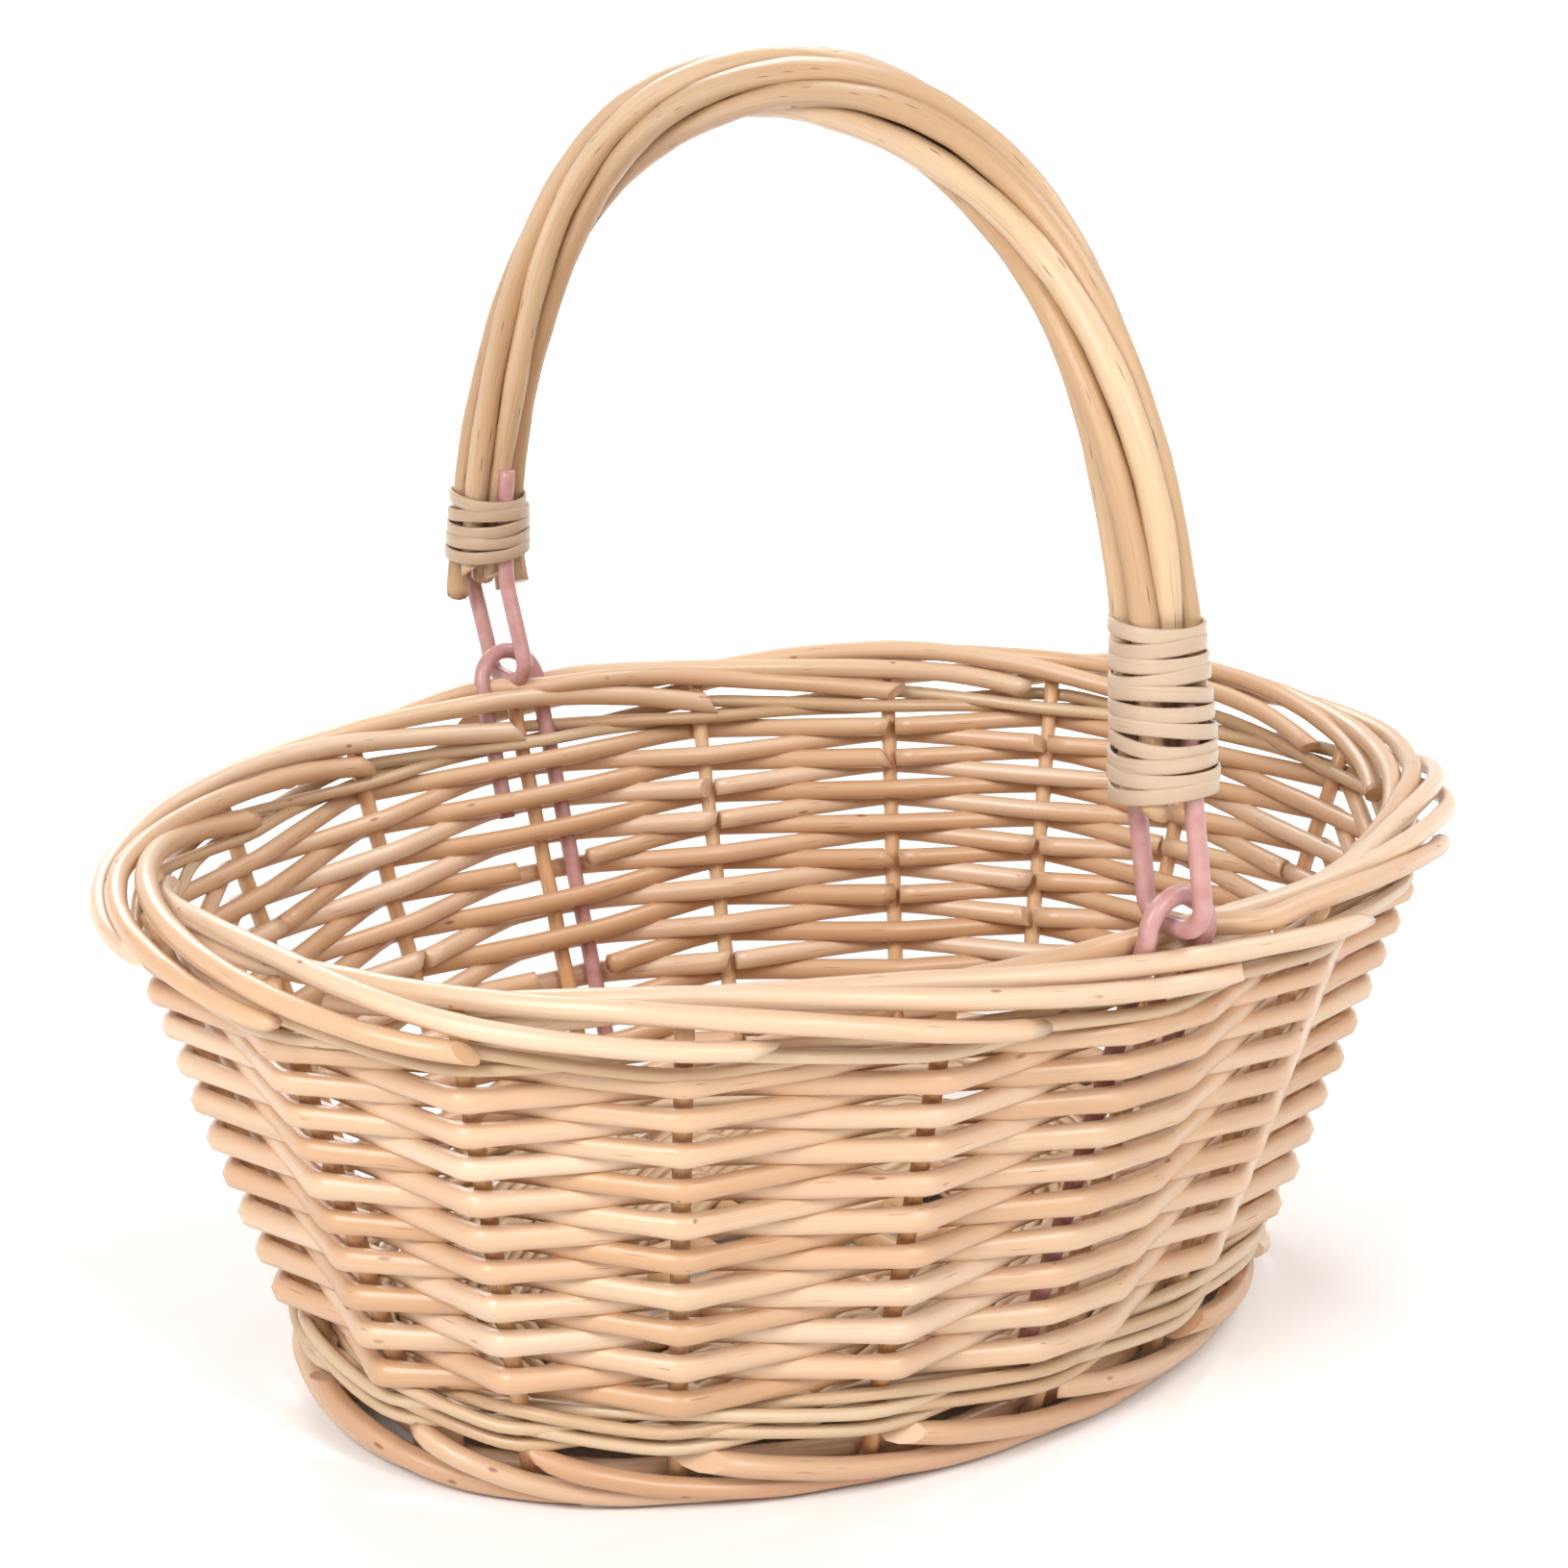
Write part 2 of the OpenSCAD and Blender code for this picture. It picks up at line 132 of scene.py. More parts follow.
def soft_light(name, place, size, power):
    data = bpy.data.lights.new(name, "AREA")
    data.shape = "DISK"
    data.size = size
    data.energy = power
    light = bpy.data.objects.new(name, data)
    light.location = place
    light.rotation_euler = (LIGHT_AIM - Vector(place)).to_track_quat("-Z", "Y").to_euler()
    scene.collection.objects.link(light)


soft_light("high_left", (-1.35, -0.5, 1.25), 0.8, 21)
soft_light("high_front", (-0.15, -1.6, 1.3), 0.7, 14)
soft_light("high_right", (1.1, -0.2, 1.3), 0.7, 8)
soft_light("high_back", (0.4, 1.3, 1.0), 0.7, 10)

# --- Wall stakes ---------------------------------------------------------------
# Eighteen peeled willow rods stand round an oval and lean out. The oval is drawn
# from four centres, and the stake line at any height is an offset of it.
STAKE_ANGLES = [14.5, 38, 58, 74, 90, 106, 122, 142, 165.5]
STAKE_ANGLES += [a + 180 for a in STAKE_ANGLES]
STAKES = len(STAKE_ANGLES)
HALF_LENGTH, HALF_WIDTH, END_RADIUS = 0.114, 0.081, 0.064
DATUM, LEAN = 0.010, 0.33
STAKE_RADIUS = 0.00205
STAKE_TAPER, STAKE_WAVE = 0.92, 0.0003
STAKE_STEPS = 12
END_CENTRE = HALF_LENGTH - END_RADIUS
SIDE_RADIUS = ((HALF_WIDTH ** 2 + END_CENTRE ** 2 - END_RADIUS ** 2)
               / (2 * (HALF_WIDTH - END_RADIUS)))
SIDE_CENTRE = SIDE_RADIUS - HALF_WIDTH
JOIN = math.atan2(SIDE_CENTRE, END_CENTRE)
MID_WALL = 0.02
# Every path has a point at least this often, and a pressed rod swells this far and much
PATH_GAP = 0.006
PRESS_REACH, PRESS = 0.006, 0.1
CUT_REACH = 0.02


def quarter_length(angle):
    """Length round the oval at mid wall, from its end to the place facing angle."""
    if angle <= JOIN:
        return (END_RADIUS + MID_WALL) * angle
    return (END_RADIUS + MID_WALL) * JOIN + (SIDE_RADIUS + MID_WALL) * (angle - JOIN)


QUARTER = quarter_length(math.pi / 2)


def length_at(angle):
    angle %= 2 * math.pi
    quarter = int(angle // (math.pi / 2)) % 4
    if quarter == 0:
        return quarter_length(angle)
    if quarter == 1:
        return 2 * QUARTER - quarter_length(math.pi - angle)
    if quarter == 2:
        return 2 * QUARTER + quarter_length(angle - math.pi)
    return 4 * QUARTER - quarter_length(2 * math.pi - angle)


def facing(length):
    """The angle that the wall faces at a length round the oval."""
    length %= 4 * QUARTER
    half, rest = divmod(length, 2 * QUARTER)
    near = min(rest, 2 * QUARTER - rest)
    on_end = (END_RADIUS + MID_WALL) * JOIN
    if near <= on_end:
        angle = near / (END_RADIUS + MID_WALL)
    else:
        angle = JOIN + (near - on_end) / (SIDE_RADIUS + MID_WALL)
    if rest > QUARTER:
        angle = math.pi - angle
    return angle + half * math.pi


STAKE_LENGTHS = [length_at(math.radians(a)) for a in STAKE_ANGLES]


def turn_angle(turn):
    """The angle faced at a count of stakes round the wall, such as 2.5."""
    k = math.floor(turn)
    here = STAKE_LENGTHS[k % STAKES]
    after = STAKE_LENGTHS[(k + 1) % STAKES]
    if after < here:
        after += 4 * QUARTER
    return facing(here + (after - here) * (turn - k))


def oval_point(angle, offset, height):
    """A point offset from the datum oval, on its side that faces angle."""
    if abs(math.cos(angle)) > math.cos(JOIN):
        centre = (math.copysign(END_CENTRE, math.cos(angle)), 0)
        radius = END_RADIUS + offset
    else:
        centre = (0, -math.copysign(SIDE_CENTRE, math.sin(angle)))
        radius = SIDE_RADIUS + offset
    return Vector((centre[0] + radius * math.cos(angle),
                   centre[1] + radius * math.sin(angle), height))


def lean_at(height):
    return LEAN * (height - DATUM)


def wall_point(turn, out, height):
    """A point that stands out from the stake line at its own height."""
    return oval_point(turn_angle(turn), lean_at(height) + out, height)


def soften(points, reach, closed=False, steps=4):
    """Rounds each kink of a path over reach on both sides of it."""
    count = len(points)
    path = []
    for j, here in enumerate(points):
        if not closed and j in (0, count - 1):
            path.append(here)
            continue
        before, after = points[j - 1], points[(j + 1) % count]
        start = here + (before - here).normalized() * min(reach, (before - here).length * 0.45)
        end = here + (after - here).normalized() * min(reach, (after - here).length * 0.45)
        for s in range(steps + 1):
            t = s / steps
            path.append((1 - t) ** 2 * start + 2 * t * (1 - t) * here + t * t * end)
    return path


def fill_in(path, gap, closed=False):
    """Adds points on a path's long straight runs."""
    out = []
    last = len(path) if closed else len(path) - 1
    for j in range(last):
        a, b = path[j], path[(j + 1) % len(path)]
        parts = max(1, round((b - a).length / gap))
        out += [a.lerp(b, s / parts) for s in range(parts)]
    if not closed:
        out.append(path[-1])
    return out


def path_length(path):
    return sum((b - a).length for a, b in zip(path, path[1:]))


def lay_rod(piece, path, thick, thin, chance, closed=False, cuts=(0, 0), sides=2, lumps=0.03,
            tall=1.0, swells=()):
    """Adds a rod along a path to the bmesh piece: thick and thin are its radii at butt and
    tip, tall how much higher than deep it is, swells the places where it is pressed broad,
    and cuts the slants of its cut ends. Its UVs run along it in metres."""
    path = [Vector((v.x, v.y, v.z / tall)) for v in path]
    swells = [Vector((v.x, v.y, v.z / tall)) for v in swells]
    curve = bpy.data.curves.new("rod", "CURVE")
    curve.dimensions = "3D"
    curve.bevel_depth = 1
    curve.bevel_resolution = sides
    curve.use_fill_caps = not closed
    spline = curve.splines.new("POLY")
    spline.use_cyclic_u = closed
    spline.points.add(len(path) - 1)
    phase = chance.uniform(0, 6.3)
    run = 0.0
    length = path_length(path)
    for j, place in enumerate(path):
        if j:
            run += (place - path[j - 1]).length
        share = run / length
        if closed:
            share = 0.5 - 0.5 * math.cos(2 * math.pi * share)
        wave = math.sin(run * 190 + phase) + 0.6 * math.sin(run * 431 + 2 * phase)
        press = sum(max(0, 1 - (place - s).length / PRESS_REACH) for s in swells)
        spline.points[j].co = (*place, 1)
        spline.points[j].radius = ((thick + (thin - thick) * share)
                                   * (1 + lumps * wave * 0.6 + PRESS * press))
    holder = bpy.data.objects.new("rod", curve)
    scene.collection.objects.link(holder)
    graph = bpy.context.evaluated_depsgraph_get()
    mesh = bpy.data.meshes.new_from_object(holder.evaluated_get(graph))
    rod = bmesh.new()
    rod.from_mesh(mesh)
    bmesh.ops.remove_doubles(rod, verts=rod.verts, dist=1e-6)
    uv = rod.loops.layers.uv.active or rod.loops.layers.uv.new("UVMap")
    tone = rod.verts.layers.float.new("tone")
    shade = chance.random()
    for vert in rod.verts:
        vert[tone] = shade
    start = chance.uniform(0, 3)
    for face in rod.faces:
        end_cap = len(face.verts) > 4
        face.smooth = not end_cap
        face.material_index = 1 if end_cap else 0
        for loop in face.loops:
            u = loop[uv].uv
            loop[uv].uv = (start + u.x * length, u.y)
    for cut, tip, inward in ((cuts[0], 0, 1), (cuts[1], -1, -1)):
        if closed or not cut:
            continue
        along = (path[1] - path[0] if inward > 0 else path[-2] - path[-1]).normalized()
        across = along.orthogonal().normalized()
        across.rotate(Matrix.Rotation(chance.uniform(0, 6.28), 3, along))
        normal = (along + across * cut).normalized()
        spot = path[tip] + along * (thick * (0.6 + cut))
        near = [f for f in rod.faces if (f.calc_center_median() - path[tip]).length < CUT_REACH]
        geometry = near + list(dict.fromkeys(e for f in near for e in f.edges))
        geometry += list(dict.fromkeys(v for f in near for v in f.verts))
        sliced = bmesh.ops.bisect_plane(rod, geom=geometry, dist=1e-7, plane_co=spot,
                                        plane_no=normal, clear_inner=True)
        rim = [e for e in sliced["geom_cut"] if isinstance(e, bmesh.types.BMEdge)]
        filled = bmesh.ops.edgenet_fill(rod, edges=rim, mat_nr=1)
        for face in filled["faces"]:
            face.smooth = False
            for loop in face.loops:
                loop[uv].uv = (start, 0)
    bmesh.ops.scale(rod, vec=(1, 1, tall), verts=rod.verts)
    bmesh.ops.recalc_face_normals(rod, faces=rod.faces)
    rod.to_mesh(mesh)
    rod.free()
    piece.from_mesh(mesh)
    bpy.data.meshes.remove(mesh)
    bpy.data.objects.remove(holder)
    bpy.data.curves.remove(curve)


def finish_piece(name, piece, body, materials, nodes):
    """Turns a bmesh into an object that stands for the CAD nodes."""
    mesh = bpy.data.meshes.new(name)
    piece.to_mesh(mesh)
    piece.free()
    for material in materials:
        mesh.materials.append(material)
    made = bpy.data.objects.new(name, mesh)
    scene.collection.objects.link(made)
    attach(made, body)
    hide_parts(*nodes)


def node(tree, kind, **settings):
    made = tree.nodes.new(kind)
    for name, value in settings.items():
        setattr(made, name, value)
    return made


def willow_skin():
    """Peeled willow: slow drifts of colour along the rod, fine fibre, dark eyes where
    twigs were, small pink and brown marks, and a bump from the fibre."""
    group = bpy.data.node_groups.new("willow_skin", "ShaderNodeTree")
    face = group.interface
    for name, kind, value in (("Pale", "NodeSocketColor", (0.8, 0.57, 0.35, 1)),
                              ("Warm", "NodeSocketColor", (0.68, 0.41, 0.2, 1)),
                              ("Mark", "NodeSocketColor", (0.22, 0.09, 0.04, 1)),
                              ("Marks", "NodeSocketFloat", 1.0),
                              ("Streaks", "NodeSocketFloat", 0.3)):
        socket = face.new_socket(name=name, in_out="INPUT", socket_type=kind)
        socket.default_value = value
    face.new_socket(name="Color", in_out="OUTPUT", socket_type="NodeSocketColor")
    face.new_socket(name="Roughness", in_out="OUTPUT", socket_type="NodeSocketFloat")
    face.new_socket(name="Height", in_out="OUTPUT", socket_type="NodeSocketFloat")
    link = group.links.new
    inputs = node(group, "NodeGroupInput")
    outputs = node(group, "NodeGroupOutput")
    uv = node(group, "ShaderNodeUVMap", uv_map="UVMap")
    split = node(group, "ShaderNodeSeparateXYZ")
    link(uv.outputs["UV"], split.inputs[0])
    tone = node(group, "ShaderNodeAttribute", attribute_name="tone")

    def math_node(operation, a, b=None):
        made = node(group, "ShaderNodeMath", operation=operation)
        for socket, value in zip(made.inputs, (a, b)):
            if value is None:
                continue
            if isinstance(value, (int, float)):
                socket.default_value = value
            else:
                link(value, socket)
        return made.outputs[0]

    angle = math_node("MULTIPLY", split.outputs["Y"], 2 * math.pi)
    around = (math_node("COSINE", angle), math_node("SINE", angle))
    tone_out = tone.outputs["Fac"]

    def rod_space(along, across):
        """Coordinates on the rod's skin that meet where it closes round."""
        joined = node(group, "ShaderNodeCombineXYZ")
        link(math_node("ADD", math_node("MULTIPLY", split.outputs["X"], along),
                       math_node("MULTIPLY", tone_out, 53.0)), joined.inputs[0])
        for k in (0, 1):
            link(math_node("MULTIPLY", around[k], across), joined.inputs[k + 1])
        return joined.outputs[0]

    def noise(along, across, detail):
        made = node(group, "ShaderNodeTexNoise")
        made.inputs["Scale"].default_value = 1
        made.inputs["Detail"].default_value = detail
        link(rod_space(along, across), made.inputs["Vector"])
        return made.outputs["Fac"]

    def ramp(value, low, high):
        made = node(group, "ShaderNodeMapRange", interpolation_type="SMOOTHSTEP")
        link(value, made.inputs["Value"])
        made.inputs["From Min"].default_value = low
        made.inputs["From Max"].default_value = high
        return made.outputs["Result"]

    def spots(along, across, size, rarity):
        made = node(group, "ShaderNodeTexVoronoi")
        made.inputs["Scale"].default_value = 1
        link(rod_space(along, across), made.inputs["Vector"])
        pick = node(group, "ShaderNodeSeparateColor")
        link(made.outputs["Color"], pick.inputs[0])
        chosen = math_node("GREATER_THAN", pick.outputs[0], rarity)
        inside = math_node("SUBTRACT", 1.0, ramp(made.outputs["Distance"], size * 0.4, size))
        return math_node("MULTIPLY", chosen, inside)

    def mix(factor, a, b, blend="MIX"):
        made = node(group, "ShaderNodeMix", data_type="RGBA", blend_type=blend)
        link(factor, made.inputs["Factor"])
        link(a, made.inputs["A"])
        link(b, made.inputs["B"])
        return made.outputs["Result"]

    drift = noise(14, 0.7, 2)
    fibre = noise(45, 9, 3)
    strand = noise(90, 26, 2)
    warmth = ramp(math_node("ADD", math_node("MULTIPLY", tone_out, 0.55),
                            math_node("MULTIPLY", drift, 0.75)), 0.25, 0.95)
    skin = mix(warmth, inputs.outputs["Pale"], inputs.outputs["Warm"])
    streak = math_node("MULTIPLY", ramp(fibre, 0.5, 0.8), inputs.outputs["Streaks"])
    skin = mix(streak, skin, mix(math_node("MULTIPLY", fibre, 0.5),
                                 inputs.outputs["Warm"], inputs.outputs["Mark"]))
    eyes = spots(150, 0.9, 0.24, 0.965)
    dashes = spots(130, 5.5, 0.34, 0.93)
    marks = math_node("MULTIPLY", math_node("MAXIMUM", eyes, math_node("MULTIPLY", dashes, 0.75)),
                      inputs.outputs["Marks"])
    skin = mix(marks, skin, inputs.outputs["Mark"])
    link(skin, outputs.inputs["Color"])
    link(math_node("ADD", 0.24, math_node("MULTIPLY", fibre, 0.24)), outputs.inputs["Roughness"])
    height = math_node("SUBTRACT", math_node("ADD", math_node("MULTIPLY", strand, 0.5), fibre),
                       math_node("MULTIPLY", marks, 0.8))
    link(height, outputs.inputs["Height"])
    return group


WILLOW = willow_skin()


def willow_material(name, pale, warm, mark, marks, streaks, bump=0.25, coat=0.25, rough=None):
    material = bpy.data.materials.new(name)
    material.use_nodes = True
    tree = material.node_tree
    shader = tree.nodes["Principled BSDF"]
    skin = node(tree, "ShaderNodeGroup", node_tree=WILLOW)
    for key, value in (("Pale", (*pale, 1)), ("Warm", (*warm, 1)), ("Mark", (*mark, 1)),
                       ("Marks", marks), ("Streaks", streaks)):
        skin.inputs[key].default_value = value
    tree.links.new(skin.outputs["Color"], shader.inputs["Base Color"])
    if rough is None:
        tree.links.new(skin.outputs["Roughness"], shader.inputs["Roughness"])
    else:
        shader.inputs["Roughness"].default_value = rough
    shader.inputs["Coat Weight"].default_value = coat
    shader.inputs["Coat Roughness"].default_value = 0.25
    dent = node(tree, "ShaderNodeBump")
    dent.inputs["Strength"].default_value = bump
    dent.inputs["Distance"].default_value = 0.0002
    tree.links.new(skin.outputs["Height"], dent.inputs["Height"])
    tree.links.new(dent.outputs["Normal"], shader.inputs["Normal"])
    return material


def cut_wood():
    """The pale end grain of a cut rod, with a darker pith."""
    material = bpy.data.materials.new("cut_end")
    material.use_nodes = True
    tree = material.node_tree
    shader = tree.nodes["Principled BSDF"]
    grain = node(tree, "ShaderNodeTexNoise")
    grain.inputs["Scale"].default_value = 900
    grain.inputs["Detail"].default_value = 3
    place = node(tree, "ShaderNodeTexCoord")
    tree.links.new(place.outputs["Object"], grain.inputs["Vector"])
    colours = node(tree, "ShaderNodeValToRGB")
    colours.color_ramp.elements[0].color = (0.42, 0.24, 0.11, 1)
    colours.color_ramp.elements[1].color = (0.80, 0.62, 0.40, 1)
    colours.color_ramp.elements[0].position = 0.3
    colours.color_ramp.elements[1].position = 0.6
    tree.links.new(grain.outputs["Fac"], colours.inputs["Fac"])
    tree.links.new(colours.outputs["Color"], shader.inputs["Base Color"])
    shader.inputs["Roughness"].default_value = 0.8
    return material


CUT_END = cut_wood()
stake_skin = willow_material("stake_willow", (0.70, 0.47, 0.27), (0.60, 0.32, 0.145),
                             (0.25, 0.10, 0.05), 0.9, 0.35)
chance = random.Random(11)
for k in range(STAKES):
    name = f"stake_{k + 1:02d}"
    low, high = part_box(name)
    foot, top = low[2] + 0.001, high[2]
    path = [wall_point(k, STAKE_WAVE * math.sin(9 * s + k), foot + (top - foot) * s / STAKE_STEPS)
            for s in range(STAKE_STEPS + 1)]
    piece = bmesh.new()
    lay_rod(piece, path, STAKE_RADIUS, STAKE_RADIUS * STAKE_TAPER, chance)
    finish_piece(f"stake_rod_{k + 1:02d}", piece, "basket", [stake_skin, CUT_END],
                 [name])

# --- Side weave ------------------------------------------------------------------
# Nineteen rounds of simple randing. Each rod passes outside one stake and inside
# the next, bends sharply round each stake and runs straight between them. New rods
# start inside, behind a stake, with a slanted cut.
WEAVE_OUT, WEAVE_IN = 0.0049, 0.0045
WEAVER_BUTT, WEAVER_TIP = 0.00235, 0.00205
WEAVER_TALL = 1.2
KINK_REACH = 0.0022
# Half the width of stake and wire loop together, which a rod passes in one bend
OBSTACLE = 0.0095
RIPPLE = 0.0004
LONGEST_ROD = 8
LOOP_STAKES = (4, 13)
weaver_skins = [
    willow_material("weaver_peach", (0.73, 0.535, 0.375), (0.63, 0.385, 0.225),
                    (0.30, 0.12, 0.06), 0.8, 0.25),
    willow_material("weaver_honey", (0.69, 0.48, 0.31), (0.57, 0.33, 0.175),
                    (0.26, 0.10, 0.05), 0.9, 0.32)]
rows = sorted(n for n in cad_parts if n.startswith("weaver_row_"))
chance = random.Random(23)
for number, name in enumerate(rows, start=1):
    low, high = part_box(name)
    height = (low[2] + high[2]) / 2
    kinks = []
    for k in range(STAKES):
        side = 1 if (k + number) % 2 == 0 else -1
        out = WEAVE_OUT if side > 0 else -WEAVE_IN
        ripple = RIPPLE * math.sin(1.9 * k + 0.3 * number) + chance.uniform(-0.00015, 0.00015)
        spot = wall_point(k, out + chance.uniform(0, 0.0003) * side, height)
        spot.z += ripple
        if k in LOOP_STAKES:
            angle = turn_angle(k)
            run = Vector((-math.sin(angle), math.cos(angle), 0)) * OBSTACLE
            kinks.append((k, side, [spot - run, spot + run]))
        else:
            kinks.append((k, side, [spot]))
    inside = [k for k, side, _ in kinks if side < 0]
    first = chance.choice(inside[:2])
    starts = [first]
    while starts[-1] + LONGEST_ROD < first + STAKES:
        starts.append(starts[-1] + chance.choice((4, 6, 6, LONGEST_ROD)))
    starts.append(first + STAKES)
    piece = bmesh.new()
    width = WEAVER_BUTT - (WEAVER_BUTT - WEAVER_TIP) * (number - 1) / (len(rows) - 1)
    for begin, end in zip(starts, starts[1:]):
        points = []
        outer = []
        for k in range(begin, end + 1):
            spots = kinks[k % STAKES][2]
            if kinks[k % STAKES][1] > 0:
                outer += spots
            if k == begin:
                spots = spots[-1:]
            elif k == end:
                spots = spots[:1]
            points += spots
        points[0] = points[0] - (points[1] - points[0]).normalized() * 0.0015
        points[-1] = points[-1] + (points[-2] - points[-1]).normalized() * 0.001
        path = fill_in(soften(points, KINK_REACH, steps=3), PATH_GAP)
        butt = width * chance.uniform(0.98, 1.07)
        lay_rod(piece, path, butt, butt * chance.uniform(0.86, 0.95), chance,
                cuts=(chance.uniform(0.4, 0.9), 0), tall=WEAVER_TALL, swells=outer)
    finish_piece(f"round_rods_{number:02d}", piece, "basket",
                 [weaver_skins[number % 2], CUT_END], [name])

# --- Wales -----------------------------------------------------------------------
# Three thin yellowish rods worked together: each passes outside two stakes, from
# high to low, and inside the third. Two rounds lock the bottom of the wall and one
# holds its top, under the border.
WALE_RADIUS = 0.00155
WALE_OUT, WALE_IN = 0.0042, -0.0040
WALE_RISE = 0.0024
fine_skin = willow_material("fine_willow", (0.64, 0.475, 0.305), (0.54, 0.35, 0.195),
                            (0.28, 0.14, 0.06), 0.9, 0.35)


def wale_strand(piece, height, strand, spread, chance):
    spots = []
    for k in range(STAKES):
        stroke = (k + strand) % 3
        out = WALE_IN if stroke == 0 else WALE_OUT
        rise = (0, spread, -spread)[stroke]
        spot = wall_point(k, out + chance.uniform(-0.0002, 0.0002), height)
        spot.z += rise
        spots.append(spot)
        middle = wall_point(k + 0.5, {0: 0, 1: WALE_OUT * 0.9, 2: 0}[stroke], height)
        middle.z += (0.4 * spread, 0, -0.4 * spread)[stroke]
        spots.append(middle)
    path = fill_in(soften(spots, 0.009, closed=True), 0.007, closed=True)
    lay_rod(piece, path, WALE_RADIUS * 1.1, WALE_RADIUS * 0.9, chance, closed=True)


chance = random.Random(37)
for name in ("bottom_wale_lower", "bottom_wale_upper", "top_wale"):
    low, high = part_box(name)
    piece = bmesh.new()
    for strand in range(3):
        wale_strand(piece, (low[2] + high[2]) / 2, strand, WALE_RISE, chance)
    finish_piece(f"{name}_rods", piece, "basket", [fine_skin, CUT_END], [name])

# --- Border ------------------------------------------------------------------------
# Eighteen thick smooth rods lie along the rim. Each starts with a cut end inside,
# rises over the crest and comes down outside over four stakes, on top of the rod
# before it. They part round the two wire loops.
BORDER_RADIUS = 0.00245
BORDER_DATUM = 0.118
BORDER_SPAN = 4.3
crest_low, crest_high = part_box("border_rod_crest")
CREST = (crest_low[2] + crest_high[2]) / 2
BORDER_STEPS = 17
BORDER_TAPER = 0.82
# Out from the stake line and up from the crest, along the rod's length
BORDER_LAY = [(0.0, -0.0072, -0.0088), (0.12, -0.0058, -0.0052), (0.3, -0.0040, -0.0016),
              (0.45, -0.0006, 0.0), (0.6, 0.0036, -0.0006), (0.78, 0.0070, -0.0040),
              (0.92, 0.0076, -0.0080), (1.0, 0.0052, -0.0098)]
LOOP_CLEAR = 0.0049
LOOP_REACH = 0.75
border_skin = willow_material("border_willow", (0.70, 0.51, 0.35), (0.60, 0.365, 0.205),
                              (0.30, 0.13, 0.06), 0.8, 0.22, coat=0.2)


def between(table, share):
    for (s0, *low), (s1, *high) in zip(table, table[1:]):
        if share <= s1:
            t = (share - s0) / (s1 - s0)
            return [a + (b - a) * t for a, b in zip(low, high)]
    return list(table[-1][1:])


def part_for_loops(turn, out):
    """Moves a border rod to the side of a wire loop that it would pass through."""
    near = min(abs((turn - k + STAKES / 2) % STAKES - STAKES / 2) for k in LOOP_STAKES)
    if near > LOOP_REACH:
        return out
    hold = min(1, 2 * (1 - near / LOOP_REACH))
    clear = math.copysign(max(abs(out), LOOP_CLEAR), out)
    return out + (clear - out) * hold


def border_rod_path(k, chance):
    start = k + chance.uniform(-0.2, 0.2)
    sway_size, sway_start = chance.uniform(0.0006, 0.0014), chance.uniform(0, 2 * math.pi)
    lift, lift_start = chance.uniform(0.0006, 0.0013), chance.uniform(0, 2 * math.pi)
    points = []
    for s in range(BORDER_STEPS + 1):
        share = s / BORDER_STEPS
        turn = start + BORDER_SPAN * share
        out, rise = between(BORDER_LAY, share)
        out = part_for_loops(turn, out)
        sway = sway_size * math.sin(1.7 * turn + sway_start)
        angle = turn_angle(turn)
        points.append(oval_point(angle, lean_at(BORDER_DATUM) + out + sway,
                                 CREST + rise + lift * math.sin(2.3 * turn + lift_start)))
    return points


chance = random.Random(41)
border_nodes = ["border_rod_inner", "border_rod_crest", "border_rod_upper", "border_rod_outer"]
for part, name in enumerate(border_nodes):
    piece = bmesh.new()
    for k in range(part, STAKES, len(border_nodes)):
        path = fill_in(soften(border_rod_path(k, chance), 0.005), PATH_GAP)
        butt = BORDER_RADIUS * chance.uniform(0.94, 1.06)
        lay_rod(piece, path, butt, butt * BORDER_TAPER, chance, sides=3,
                cuts=(chance.uniform(0.6, 1.3), chance.uniform(1.2, 2.4)))
    finish_piece(f"border_rods_{part + 1}", piece, "basket", [border_skin, CUT_END],
                 [name])

# --- Foot border ---------------------------------------------------------------------
# Thick rods pushed up beside the stakes: each leaves the wale at a slant, turns along
# the bottom edge under the next one and ends in a cut. A ring of rods backs them.
FOOT_RADIUS, FOOT_TAPER = 0.0025, 0.9
FOOT_SPAN = 2.6
FOOT_STEPS = 12
BACKING_SPAN, BACKING_STEPS = 3.4, 16
BACKING_OUT, BACKING_LOW, BACKING_RISE = -0.0047, 0.0030, 0.004
FOOT_LAY = [(0.0, 0.0036, 0.0138), (0.15, 0.0058, 0.0104), (0.35, 0.0054, 0.0060),
            (0.55, 0.0044, 0.0032), (1.0, 0.0024, 0.0027)]
foot_skin = willow_material("foot_willow", (0.67, 0.46, 0.295), (0.56, 0.31, 0.17),
                            (0.26, 0.10, 0.05), 0.9, 0.4)
chance = random.Random(53)
piece = bmesh.new()
for k in range(STAKES):
    start = k + chance.uniform(-0.1, 0.1)
    points = []
    for s in range(FOOT_STEPS + 1):
        share = s / FOOT_STEPS
        out, height = between(FOOT_LAY, share)
        points.append(wall_point(start + FOOT_SPAN * share, out, height))
    path = fill_in(soften(points, 0.006), PATH_GAP)
    butt = FOOT_RADIUS * chance.uniform(0.94, 1.06)
    lay_rod(piece, path, butt, butt * FOOT_TAPER, chance, sides=3,
            cuts=(chance.uniform(1.2, 2.2), chance.uniform(0.4, 1.0)))
